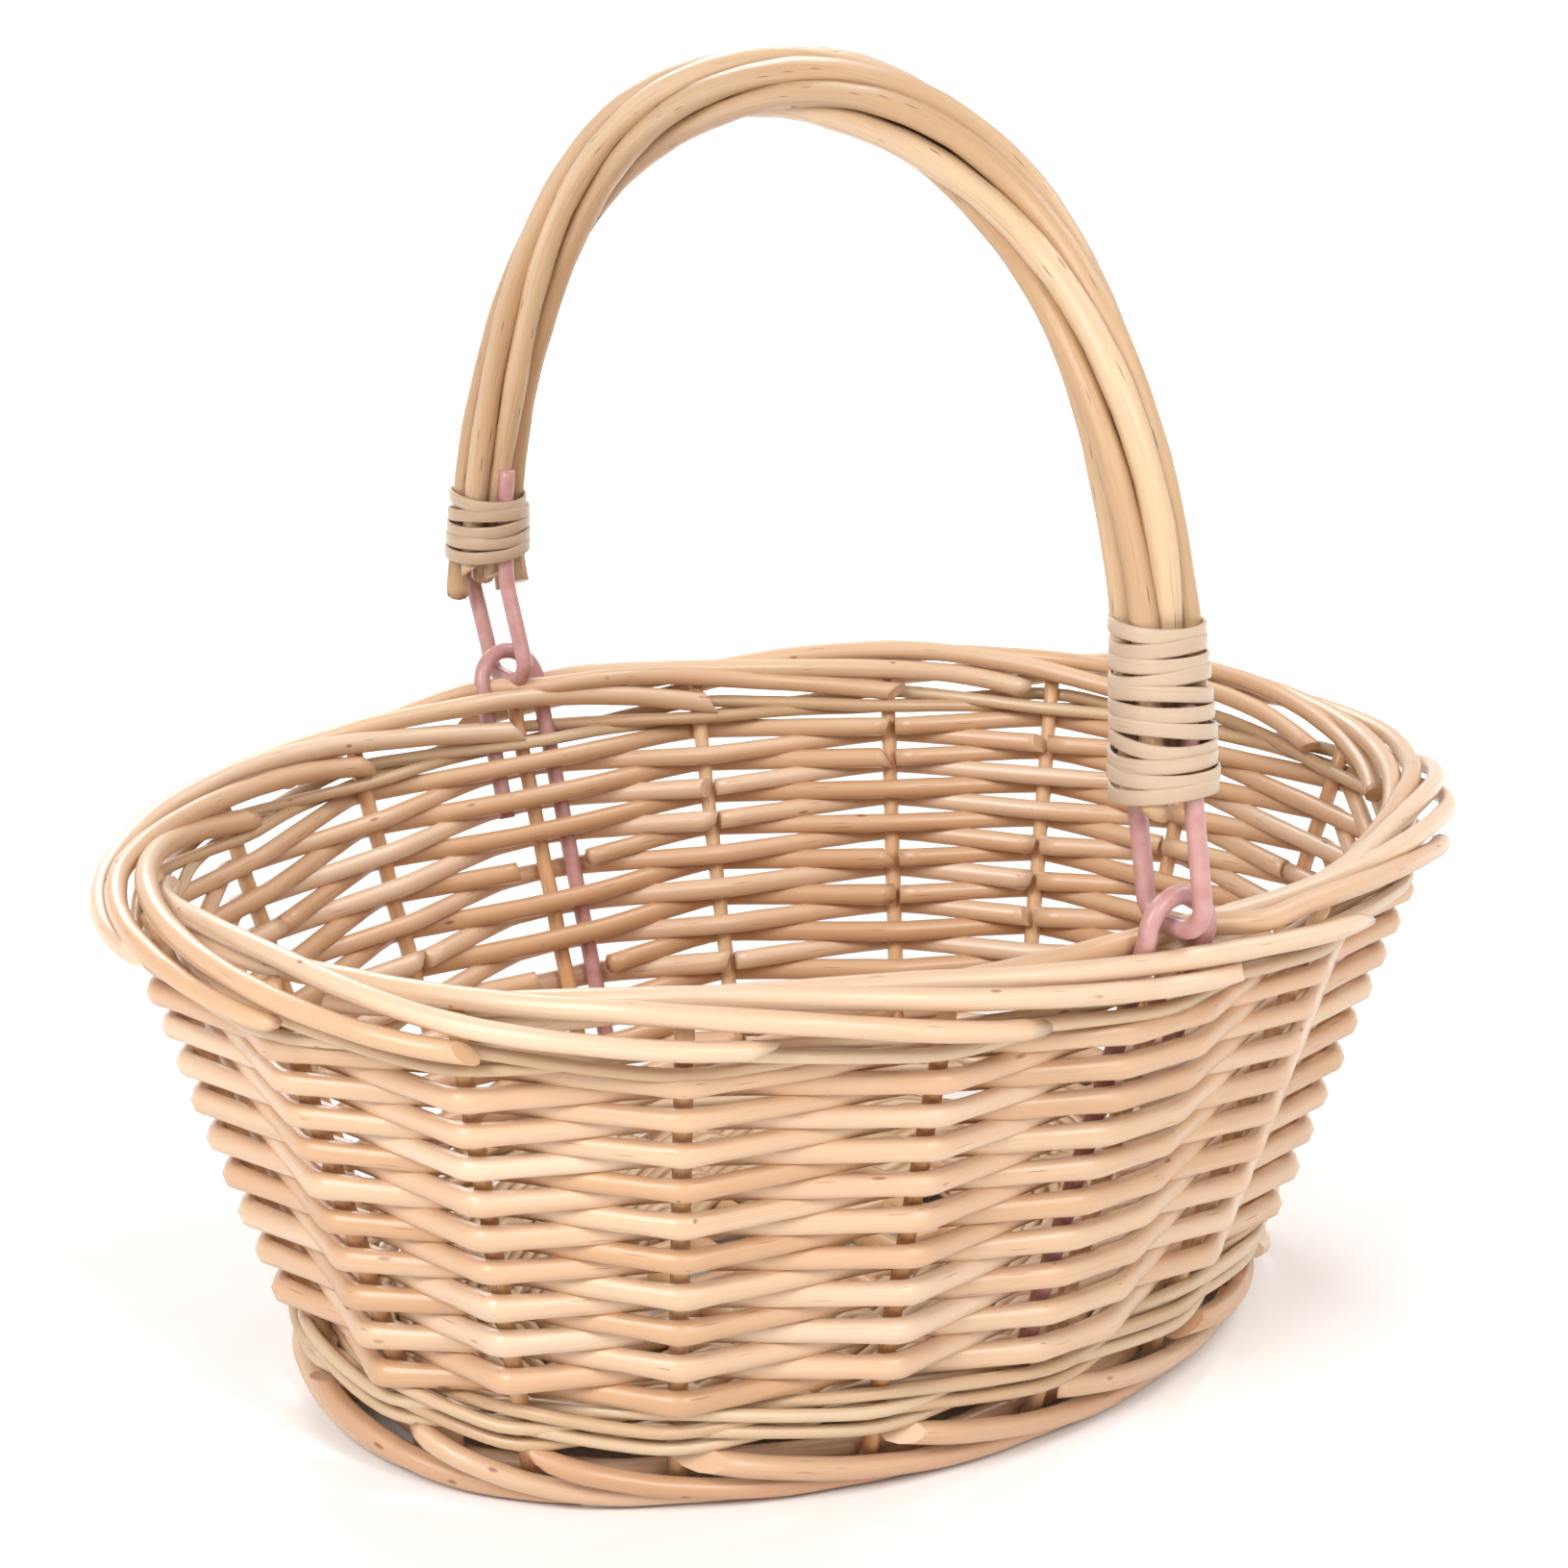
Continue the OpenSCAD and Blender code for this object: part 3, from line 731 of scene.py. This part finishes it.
for k in range(0, STAKES, 3):
    points = [wall_point(k + BACKING_SPAN * s / BACKING_STEPS, BACKING_OUT + 0.001 * math.sin(s),
                         BACKING_LOW + BACKING_RISE * s / BACKING_STEPS)
              for s in range(BACKING_STEPS + 1)]
    lay_rod(piece, points, FOOT_RADIUS, FOOT_RADIUS * FOOT_TAPER, chance, cuts=(0.5, 0.5))
finish_piece("foot_rods", piece, "basket", [foot_skin, CUT_END], ["foot_border"])

# --- Base --------------------------------------------------------------------------
# Five long sticks pass through slits in nine short thick ones, and pairs of fine rods
# are woven round them, over one stick and under the next.
STICK_PITCH = 0.017
LONG_PITCH = STICK_PITCH * 0.6
LONG_STICKS, CROSS_STICKS = 5, 9
STICK_INSET = 0.0068
STICK_STEPS, STICK_SWAY = 24, 0.0002
base_low, base_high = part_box("base_cross_sticks")
BASE_HEIGHT = (base_low[2] + base_high[2]) / 2
CROSS_RADIUS = (base_high[2] - base_low[2]) / 2
LONG_RADIUS = 0.0019
ROUND_RADIUS = 0.0016
ROUND_FIRST, ROUND_PITCH, ROUNDS = -0.0095, -0.0034, 13
stick_skin = willow_material("base_sticks", (0.74, 0.50, 0.29), (0.60, 0.36, 0.18),
                             (0.25, 0.10, 0.05), 1.0, 0.4)
chance = random.Random(61)
long_places = [(k - (LONG_STICKS - 1) / 2) * LONG_PITCH for k in range(LONG_STICKS)]
cross_places = [(k - (CROSS_STICKS - 1) / 2) * STICK_PITCH for k in range(CROSS_STICKS)]


def long_reach(y):
    return END_CENTRE + math.sqrt((END_RADIUS - STICK_INSET) ** 2 - y * y)


def cross_reach(x):
    return math.sqrt((SIDE_RADIUS - STICK_INSET) ** 2 - x * x) - SIDE_CENTRE


def stick_path(start, end, chance):
    phase = chance.uniform(0, 6)
    path = []
    for s in range(STICK_STEPS + 1):
        share = s / STICK_STEPS
        spot = start.lerp(end, share)
        spot.z += STICK_SWAY * math.sin(5 * share + phase) * math.sin(math.pi * share)
        path.append(spot)
    return path


piece = bmesh.new()
for y in long_places:
    ends = [Vector((side * long_reach(y), y, BASE_HEIGHT)) for side in (-1, 1)]
    lay_rod(piece, stick_path(*ends, chance), LONG_RADIUS, LONG_RADIUS * 0.93, chance,
            cuts=(0.6, 0.6))
finish_piece("base_long_rods", piece, "basket", [stick_skin, CUT_END],
             ["base_long_sticks"])
piece = bmesh.new()
for x in cross_places:
    ends = [Vector((x, side * cross_reach(x), BASE_HEIGHT)) for side in (-1, 1)]
    lay_rod(piece, stick_path(*ends, chance), CROSS_RADIUS, CROSS_RADIUS * 0.95, chance,
            sides=3, cuts=(0.5, 0.5))
finish_piece("base_cross_rods", piece, "basket", [stick_skin, CUT_END],
             ["base_cross_sticks"])


def base_crossings(offset):
    """Angles round an oval round at which it meets a base stick, and the stick's radius."""
    found = []
    radius = SIDE_RADIUS + offset
    for x in cross_places:
        if abs(x) < radius * math.cos(JOIN):
            angle = math.acos(x / radius)
            found += [(angle, CROSS_RADIUS), (2 * math.pi - angle, CROSS_RADIUS)]
    radius = END_RADIUS + offset
    for y in long_places:
        if abs(y) < radius * math.sin(JOIN):
            angle = math.asin(y / radius)
            found += [(angle % (2 * math.pi), LONG_RADIUS), (math.pi - angle, LONG_RADIUS)]
    return sorted(found)


piece = bmesh.new()
for k in range(ROUNDS):
    offset = ROUND_FIRST + k * ROUND_PITCH
    crossings = base_crossings(offset)
    for phase in (0, 1):
        points = []
        for j, (angle, stick) in enumerate(crossings):
            side = 1 if (j + phase + k) % 2 == 0 else -1
            lift = side * (stick + ROUND_RADIUS * 0.9)
            points.append(oval_point(angle, offset, BASE_HEIGHT + lift))
            after = crossings[(j + 1) % len(crossings)][0]
            if after < angle:
                after += 2 * math.pi
            for part in (1 / 3, 2 / 3):
                points.append(oval_point(angle + (after - angle) * part,
                                         offset + (phase - 0.5) * 0.0008,
                                         BASE_HEIGHT + lift * (1 - 2 * part)))
        path = fill_in(soften(points, 0.004, closed=True, steps=2), PATH_GAP, closed=True)
        lay_rod(piece, path, ROUND_RADIUS, ROUND_RADIUS * 0.9, chance, closed=True, sides=1)
finish_piece("base_weave_rods", piece, "basket", [fine_skin, CUT_END],
             ["base_weave"])

# --- Wire loops and eyes --------------------------------------------------------------
# Steel wire in a thick pink plastic coat. A hairpin stands in the middle of each long
# side, its short leg cut off bare below the border; a U in each end of the handle
# hooks through it, its bottom on the hinge axis.
WIRE_RADIUS = 0.0020
LOOP_GAUGE, EYE_GAUGE = 0.016, 0.016
HINGE_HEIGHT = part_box("eye_front")[0][2] + WIRE_RADIUS
LOOP_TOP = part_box("loop_front")[1][2] - WIRE_RADIUS
HINGE_REACH, HANDLE_SHIFT = 0.118, 0.0012
BACK_LOOP_LEAN = 0.35
BEND_HEIGHT = DATUM + (HINGE_REACH - HALF_WIDTH) / LEAN
LONG_LEG, SHORT_LEG = 0.012, 0.092
# Heights at which a loop's legs bend, the straight bottom of an eye, and how far the
# eye's legs are squeezed together inside the binding
LONG_BENDS, SHORT_BEND = (0.045, 0.08), 0.105
PIN = 0.005
SQUEEZE = 0.16
LEG_START = 0.003
BEND_STEPS = 6
CORE_RING = 0.0006


def coated_wire():
    material = bpy.data.materials.new("pink_coat")
    material.use_nodes = True
    tree = material.node_tree
    shader = tree.nodes["Principled BSDF"]
    place = node(tree, "ShaderNodeTexCoord")
    scuff = node(tree, "ShaderNodeTexNoise")
    scuff.inputs["Scale"].default_value = 260
    scuff.inputs["Detail"].default_value = 4
    tree.links.new(place.outputs["Object"], scuff.inputs["Vector"])
    colours = node(tree, "ShaderNodeValToRGB")
    colours.color_ramp.elements[0].position = 0.35
    colours.color_ramp.elements[1].position = 0.7
    colours.color_ramp.elements[0].color = (0.45, 0.215, 0.198, 1)
    colours.color_ramp.elements[1].color = (0.53, 0.29, 0.268, 1)
    tree.links.new(scuff.outputs["Fac"], colours.inputs["Fac"])
    tree.links.new(colours.outputs["Color"], shader.inputs["Base Color"])
    gloss = node(tree, "ShaderNodeMapRange")
    gloss.inputs["To Min"].default_value = 0.22
    gloss.inputs["To Max"].default_value = 0.42
    tree.links.new(scuff.outputs["Fac"], gloss.inputs["Value"])
    tree.links.new(gloss.outputs["Result"], shader.inputs["Roughness"])
    dent = node(tree, "ShaderNodeBump")
    dent.inputs["Strength"].default_value = 0.12
    dent.inputs["Distance"].default_value = 0.0002
    tree.links.new(scuff.outputs["Fac"], dent.inputs["Height"])
    tree.links.new(dent.outputs["Normal"], shader.inputs["Normal"])
    return material


def bare_steel():
    material = bpy.data.materials.new("bare_wire_end")
    material.use_nodes = True
    tree = material.node_tree
    shader = tree.nodes["Principled BSDF"]
    place = node(tree, "ShaderNodeTexCoord")
    marks = node(tree, "ShaderNodeTexNoise")
    marks.inputs["Scale"].default_value = 1500
    tree.links.new(place.outputs["Object"], marks.inputs["Vector"])
    rough = node(tree, "ShaderNodeMapRange")
    rough.inputs["To Min"].default_value = 0.3
    rough.inputs["To Max"].default_value = 0.6
    tree.links.new(marks.outputs["Fac"], rough.inputs["Value"])
    tree.links.new(rough.outputs["Result"], shader.inputs["Roughness"])
    shader.inputs["Base Color"].default_value = (0.55, 0.53, 0.50, 1)
    shader.inputs["Metallic"].default_value = 1
    return material


PINK, STEEL = coated_wire(), bare_steel()


def lay_wire(piece, path, chance):
    """A coated wire whose cut ends show the steel core in a ring of plastic."""
    lay_rod(piece, path, WIRE_RADIUS, WIRE_RADIUS, chance, sides=4, lumps=0.004)
    caps = [f for f in piece.faces if f.material_index == 1 and len(f.verts) > 4]
    for cap in caps:
        cap.material_index = 0
    bmesh.ops.inset_individual(piece, faces=caps, thickness=CORE_RING)
    for cap in caps:
        cap.material_index = 1


chance = random.Random(71)
for name, side in (("loop_front", -1), ("loop_back", 1)):
    # Seen from outside, the long leg is on the left
    half = LOOP_GAUGE / 2
    crown = LOOP_TOP - half
    long_side, short_side = side, -side
    tip = BACK_LOOP_LEAN if side > 0 else 0
    path = [Vector((long_side * half, side * (HALF_WIDTH + lean_at(z)), z))
            for z in (LONG_LEG, *LONG_BENDS, BEND_HEIGHT - 0.005)]
    for s in range(13):
        a = math.pi * s / 12
        rise = half * math.sin(a)
        path.append(Vector((long_side * half * math.cos(a), side * (HINGE_REACH + tip * rise),
                            crown + rise)))
    path += [Vector((short_side * half, side * (HALF_WIDTH + lean_at(z)), z))
             for z in (BEND_HEIGHT - 0.005, SHORT_BEND, SHORT_LEG)]
    piece = bmesh.new()
    lay_wire(piece, fill_in(soften(path, 0.0012), PATH_GAP), chance)
    finish_piece(f"wire_{name}", piece, "basket", [PINK, STEEL], [name])

# The handle's middle line: one smooth curve in the YZ plane from seven guide points
GUIDE = [(-0.1138, 0.145), (-0.1059, 0.207), (-0.1157, 0.3035), (0.0365, 0.3011),
         (0.0803, 0.2872), (0.1330, 0.2085), (0.1262, 0.144)]
TABLE = 240


def guide_point(u):
    points = [Vector((0, *p)) for p in GUIDE]
    while len(points) > 1:
        points = [a.lerp(b, u) for a, b in zip(points, points[1:])]
    return points[0]


middle_line = [guide_point(s / TABLE) for s in range(TABLE + 1)]
line_runs = [0.0]
for a, b in zip(middle_line, middle_line[1:]):
    line_runs.append(line_runs[-1] + (b - a).length)
ARCH_LENGTH = line_runs[-1]


def handle_point(run, across=0.0, out=0.0):
    """A point beside the handle's middle line, run along it from the front end."""
    s = 0
    while s < TABLE - 1 and line_runs[s + 1] < run:
        s += 1
    a, b = middle_line[s], middle_line[s + 1]
    along = (b - a).normalized()
    spot = a + along * (run - line_runs[s])
    spot += Vector((0, -along.z, along.y)) * out
    spot.x = across
    return spot


for name, side, tops in (("eye_front", -1, (0.020, 0.024)), ("eye_back", 1, (0.034, 0.012))):
    # The first leg is the one nearer the middle of the basket
    half = EYE_GAUGE / 2
    bend = half - PIN / 2
    pin = side * HINGE_REACH + HANDLE_SHIFT
    legs = []
    for leg, top in zip((-1, 1), tops):
        way = side * leg
        path = [Vector((0, pin, HINGE_HEIGHT))]
        for s in range(BEND_STEPS + 1):
            a = math.pi / 2 * s / BEND_STEPS
            path.append(Vector((0, pin + way * (PIN / 2 + bend * math.sin(a)),
                                HINGE_HEIGHT + bend * (1 - math.cos(a)))))
        for s in range(BEND_STEPS + 1):
            run = LEG_START + (top - LEG_START) * s / BEND_STEPS
            draw_in = 1 - SQUEEZE * s / BEND_STEPS
            path.append(handle_point(run if side < 0 else ARCH_LENGTH - run, 0,
                                     leg * half * draw_in))
        legs.append(path)
    path = legs[0][::-1] + legs[1][1:]
    piece = bmesh.new()
    lay_wire(piece, fill_in(soften(path, 0.004), PATH_GAP), chance)
    finish_piece(f"wire_{name}", piece, "handle", [PINK, STEEL], [name])

# --- Handle rods -----------------------------------------------------------------------
# Six duller willow rods, twisted together into an arch. At each end they are pressed
# flat, two deep and three wide, between the legs of the wire eye, and cut off ragged.
ROD_RADIUS = 0.0029
RING_RADIUS = 0.0053
FLAT_PITCH = 0.0053
TWIST = math.radians(360)
BLEND = 0.04
FRONT_FLAT, BACK_FLAT = 0.022, 0.018
SPLAY, SPLAY_RUN = 0.3, 0.014
RODS, ROD_STEPS, WANDER = 6, 90, 0.0006
SLOT_TURN = math.radians(360 / RODS)
handle_skin = willow_material("handle_willow", (0.62, 0.43, 0.265), (0.46, 0.28, 0.145),
                              (0.13, 0.055, 0.03), 1.0, 0.6, bump=0.5, coat=0.05)


def smooth(t):
    t = min(1, max(0, t))
    return t * t * (3 - 2 * t)


def rod_place(k, run):
    """Where rod k lies across the bundle: across the basket's length and outward."""
    ring = min(smooth((run - FRONT_FLAT) / BLEND), smooth((ARCH_LENGTH - BACK_FLAT - run) / BLEND))
    turned = TWIST * smooth(1.1 * run / ARCH_LENGTH - 0.05)
    angle = SLOT_TURN * (k + 0.5) + turned
    shift = round(TWIST / SLOT_TURN) if run > ARCH_LENGTH / 2 else 0
    slot = SLOT_TURN * ((k + shift) % RODS + 0.5)
    column = 0 if abs(math.cos(slot)) < 0.1 else math.copysign(FLAT_PITCH, math.cos(slot))
    row = math.copysign(FLAT_PITCH / 2, math.sin(slot))
    end = min(run, ARCH_LENGTH - run)
    open_out = 1 + SPLAY * max(0, 1 - end / SPLAY_RUN)
    return (ring * RING_RADIUS * math.cos(angle) + (1 - ring) * column * open_out,
            ring * RING_RADIUS * math.sin(angle) + (1 - ring) * row * open_out)


chance = random.Random(83)
for k in range(RODS):
    begin = chance.uniform(-0.002, 0.004)
    finish = ARCH_LENGTH + chance.uniform(-0.004, 0.003)
    phase = chance.uniform(0, 6)
    path = []
    for s in range(ROD_STEPS + 1):
        run = begin + (finish - begin) * s / ROD_STEPS
        across, out = rod_place(k, min(max(run, 0), ARCH_LENGTH))
        wander = WANDER * math.sin(run * 47 + phase)
        path.append(handle_point(run, across * (1 + wander * 30), out + wander))
    piece = bmesh.new()
    butt = ROD_RADIUS * chance.uniform(0.93, 1.08)
    lay_rod(piece, path, butt, butt * chance.uniform(0.88, 0.98), chance, sides=3,
            cuts=(chance.uniform(0.3, 0.9), chance.uniform(0.3, 0.9)), lumps=0.05)
    finish_piece(f"handle_willow_{k + 1}", piece, "handle", [handle_skin, CUT_END],
                 [f"handle_rod_{k + 1}"])

# --- Bindings ----------------------------------------------------------------------------
# A flat strip of split cane, wound tightly round rods and wire legs: eleven turns at
# the front end, five at the back. Its ends are tucked under the turns.
CANE_WIDTH, CANE_THICKNESS = 0.0031, 0.0010
CANE_PITCH = 0.0031
PROFILE_SIDES, TURN_STEPS = 12, 28
TUCK, TUCK_STEPS = 0.12, 8
cane_skin = willow_material("split_cane", (0.52, 0.385, 0.27), (0.44, 0.30, 0.19),
                            (0.30, 0.16, 0.08), 0.7, 0.45, bump=0.4, coat=0.15)


def cane_profile():
    """The strip's cross-section, flat with rounded edges."""
    curve = bpy.data.curves.new("cane_profile", "CURVE")
    curve.dimensions = "2D"
    spline = curve.splines.new("POLY")
    spline.use_cyclic_u = True
    spline.points.add(PROFILE_SIDES - 1)
    for s in range(PROFILE_SIDES):
        a = 2 * math.pi * s / PROFILE_SIDES
        x = math.copysign(abs(math.cos(a)) ** 0.5, math.cos(a)) * CANE_THICKNESS / 2
        y = math.copysign(abs(math.sin(a)) ** 0.5, math.sin(a)) * CANE_WIDTH / 2
        spline.points[s].co = (x, y, 0, 1)
    made = bpy.data.objects.new("cane_profile", curve)
    scene.collection.objects.link(made)
    return made


def bind(name, side, start, turns, wide, deep, chance):
    """A strip wound round a leg from start; wide and deep give its half sizes at the
    foot and the top of the binding."""
    curve = bpy.data.curves.new(name, "CURVE")
    curve.dimensions = "3D"
    curve.twist_mode = "Z_UP"
    curve.bevel_mode = "OBJECT"
    curve.bevel_object = cane_profile()
    curve.use_fill_caps = True
    spline = curve.splines.new("POLY")
    count = turns * TURN_STEPS
    spline.points.add(count)
    length = 0
    before = None
    for s in range(count + 1):
        turn = s / TURN_STEPS
        angle = 2 * math.pi * turn
        loose = 1 + 0.012 * math.sin(turn * 5.1) + 0.01 * math.sin(turn * 17)
        tuck = 1 - TUCK * smooth(1 - min(s, count - s) / TUCK_STEPS)
        share = turn / turns
        x = (deep[0] + (deep[1] - deep[0]) * share) * math.cos(angle) * loose * tuck
        out = (wide[0] + (wide[1] - wide[0]) * share) * math.sin(angle) * loose * tuck
        run = start + CANE_WIDTH / 2 + turn * CANE_PITCH
        run += 0.0005 * math.sin(turn * 9) + 0.0007 * math.sin(angle + turn * 0.9)
        spot = handle_point(run if side < 0 else ARCH_LENGTH - run, x, out)
        spline.points[s].co = (*spot, 1)
        length += (spot - before).length if before else 0
        before = spot
    holder = bpy.data.objects.new(name, curve)
    scene.collection.objects.link(holder)
    graph = bpy.context.evaluated_depsgraph_get()
    mesh = bpy.data.meshes.new_from_object(holder.evaluated_get(graph))
    piece = bmesh.new()
    piece.from_mesh(mesh)
    bmesh.ops.remove_doubles(piece, verts=piece.verts, dist=1e-6)
    uv = piece.loops.layers.uv.active
    tone = piece.verts.layers.float.new("tone")
    shade = chance.random()
    for vert in piece.verts:
        vert[tone] = shade
    for face in piece.faces:
        cap = len(face.verts) > 4
        face.smooth = not cap
        face.material_index = 1 if cap else 0
        for loop in face.loops:
            loop[uv].uv = (loop[uv].uv.x * length, loop[uv].uv.y)
    bmesh.ops.recalc_face_normals(piece, faces=piece.faces)
    bpy.data.meshes.remove(mesh)
    bpy.data.objects.remove(curve.bevel_object)
    bpy.data.objects.remove(holder)
    return piece


chance = random.Random(97)
for name, side, start, turns, wide, deep in (
        ("binding_front", -1, 0.0035, 11, (0.0108, 0.0088), (0.0104, 0.0088)),
        ("binding_back", 1, 0.0085, 5, (0.0106, 0.0098), (0.0100, 0.0092))):
    piece = bind(name, side, start, turns, wide, deep, chance)
    finish_piece(f"cane_{name}", piece, "handle", [cane_skin, CUT_END], [name])
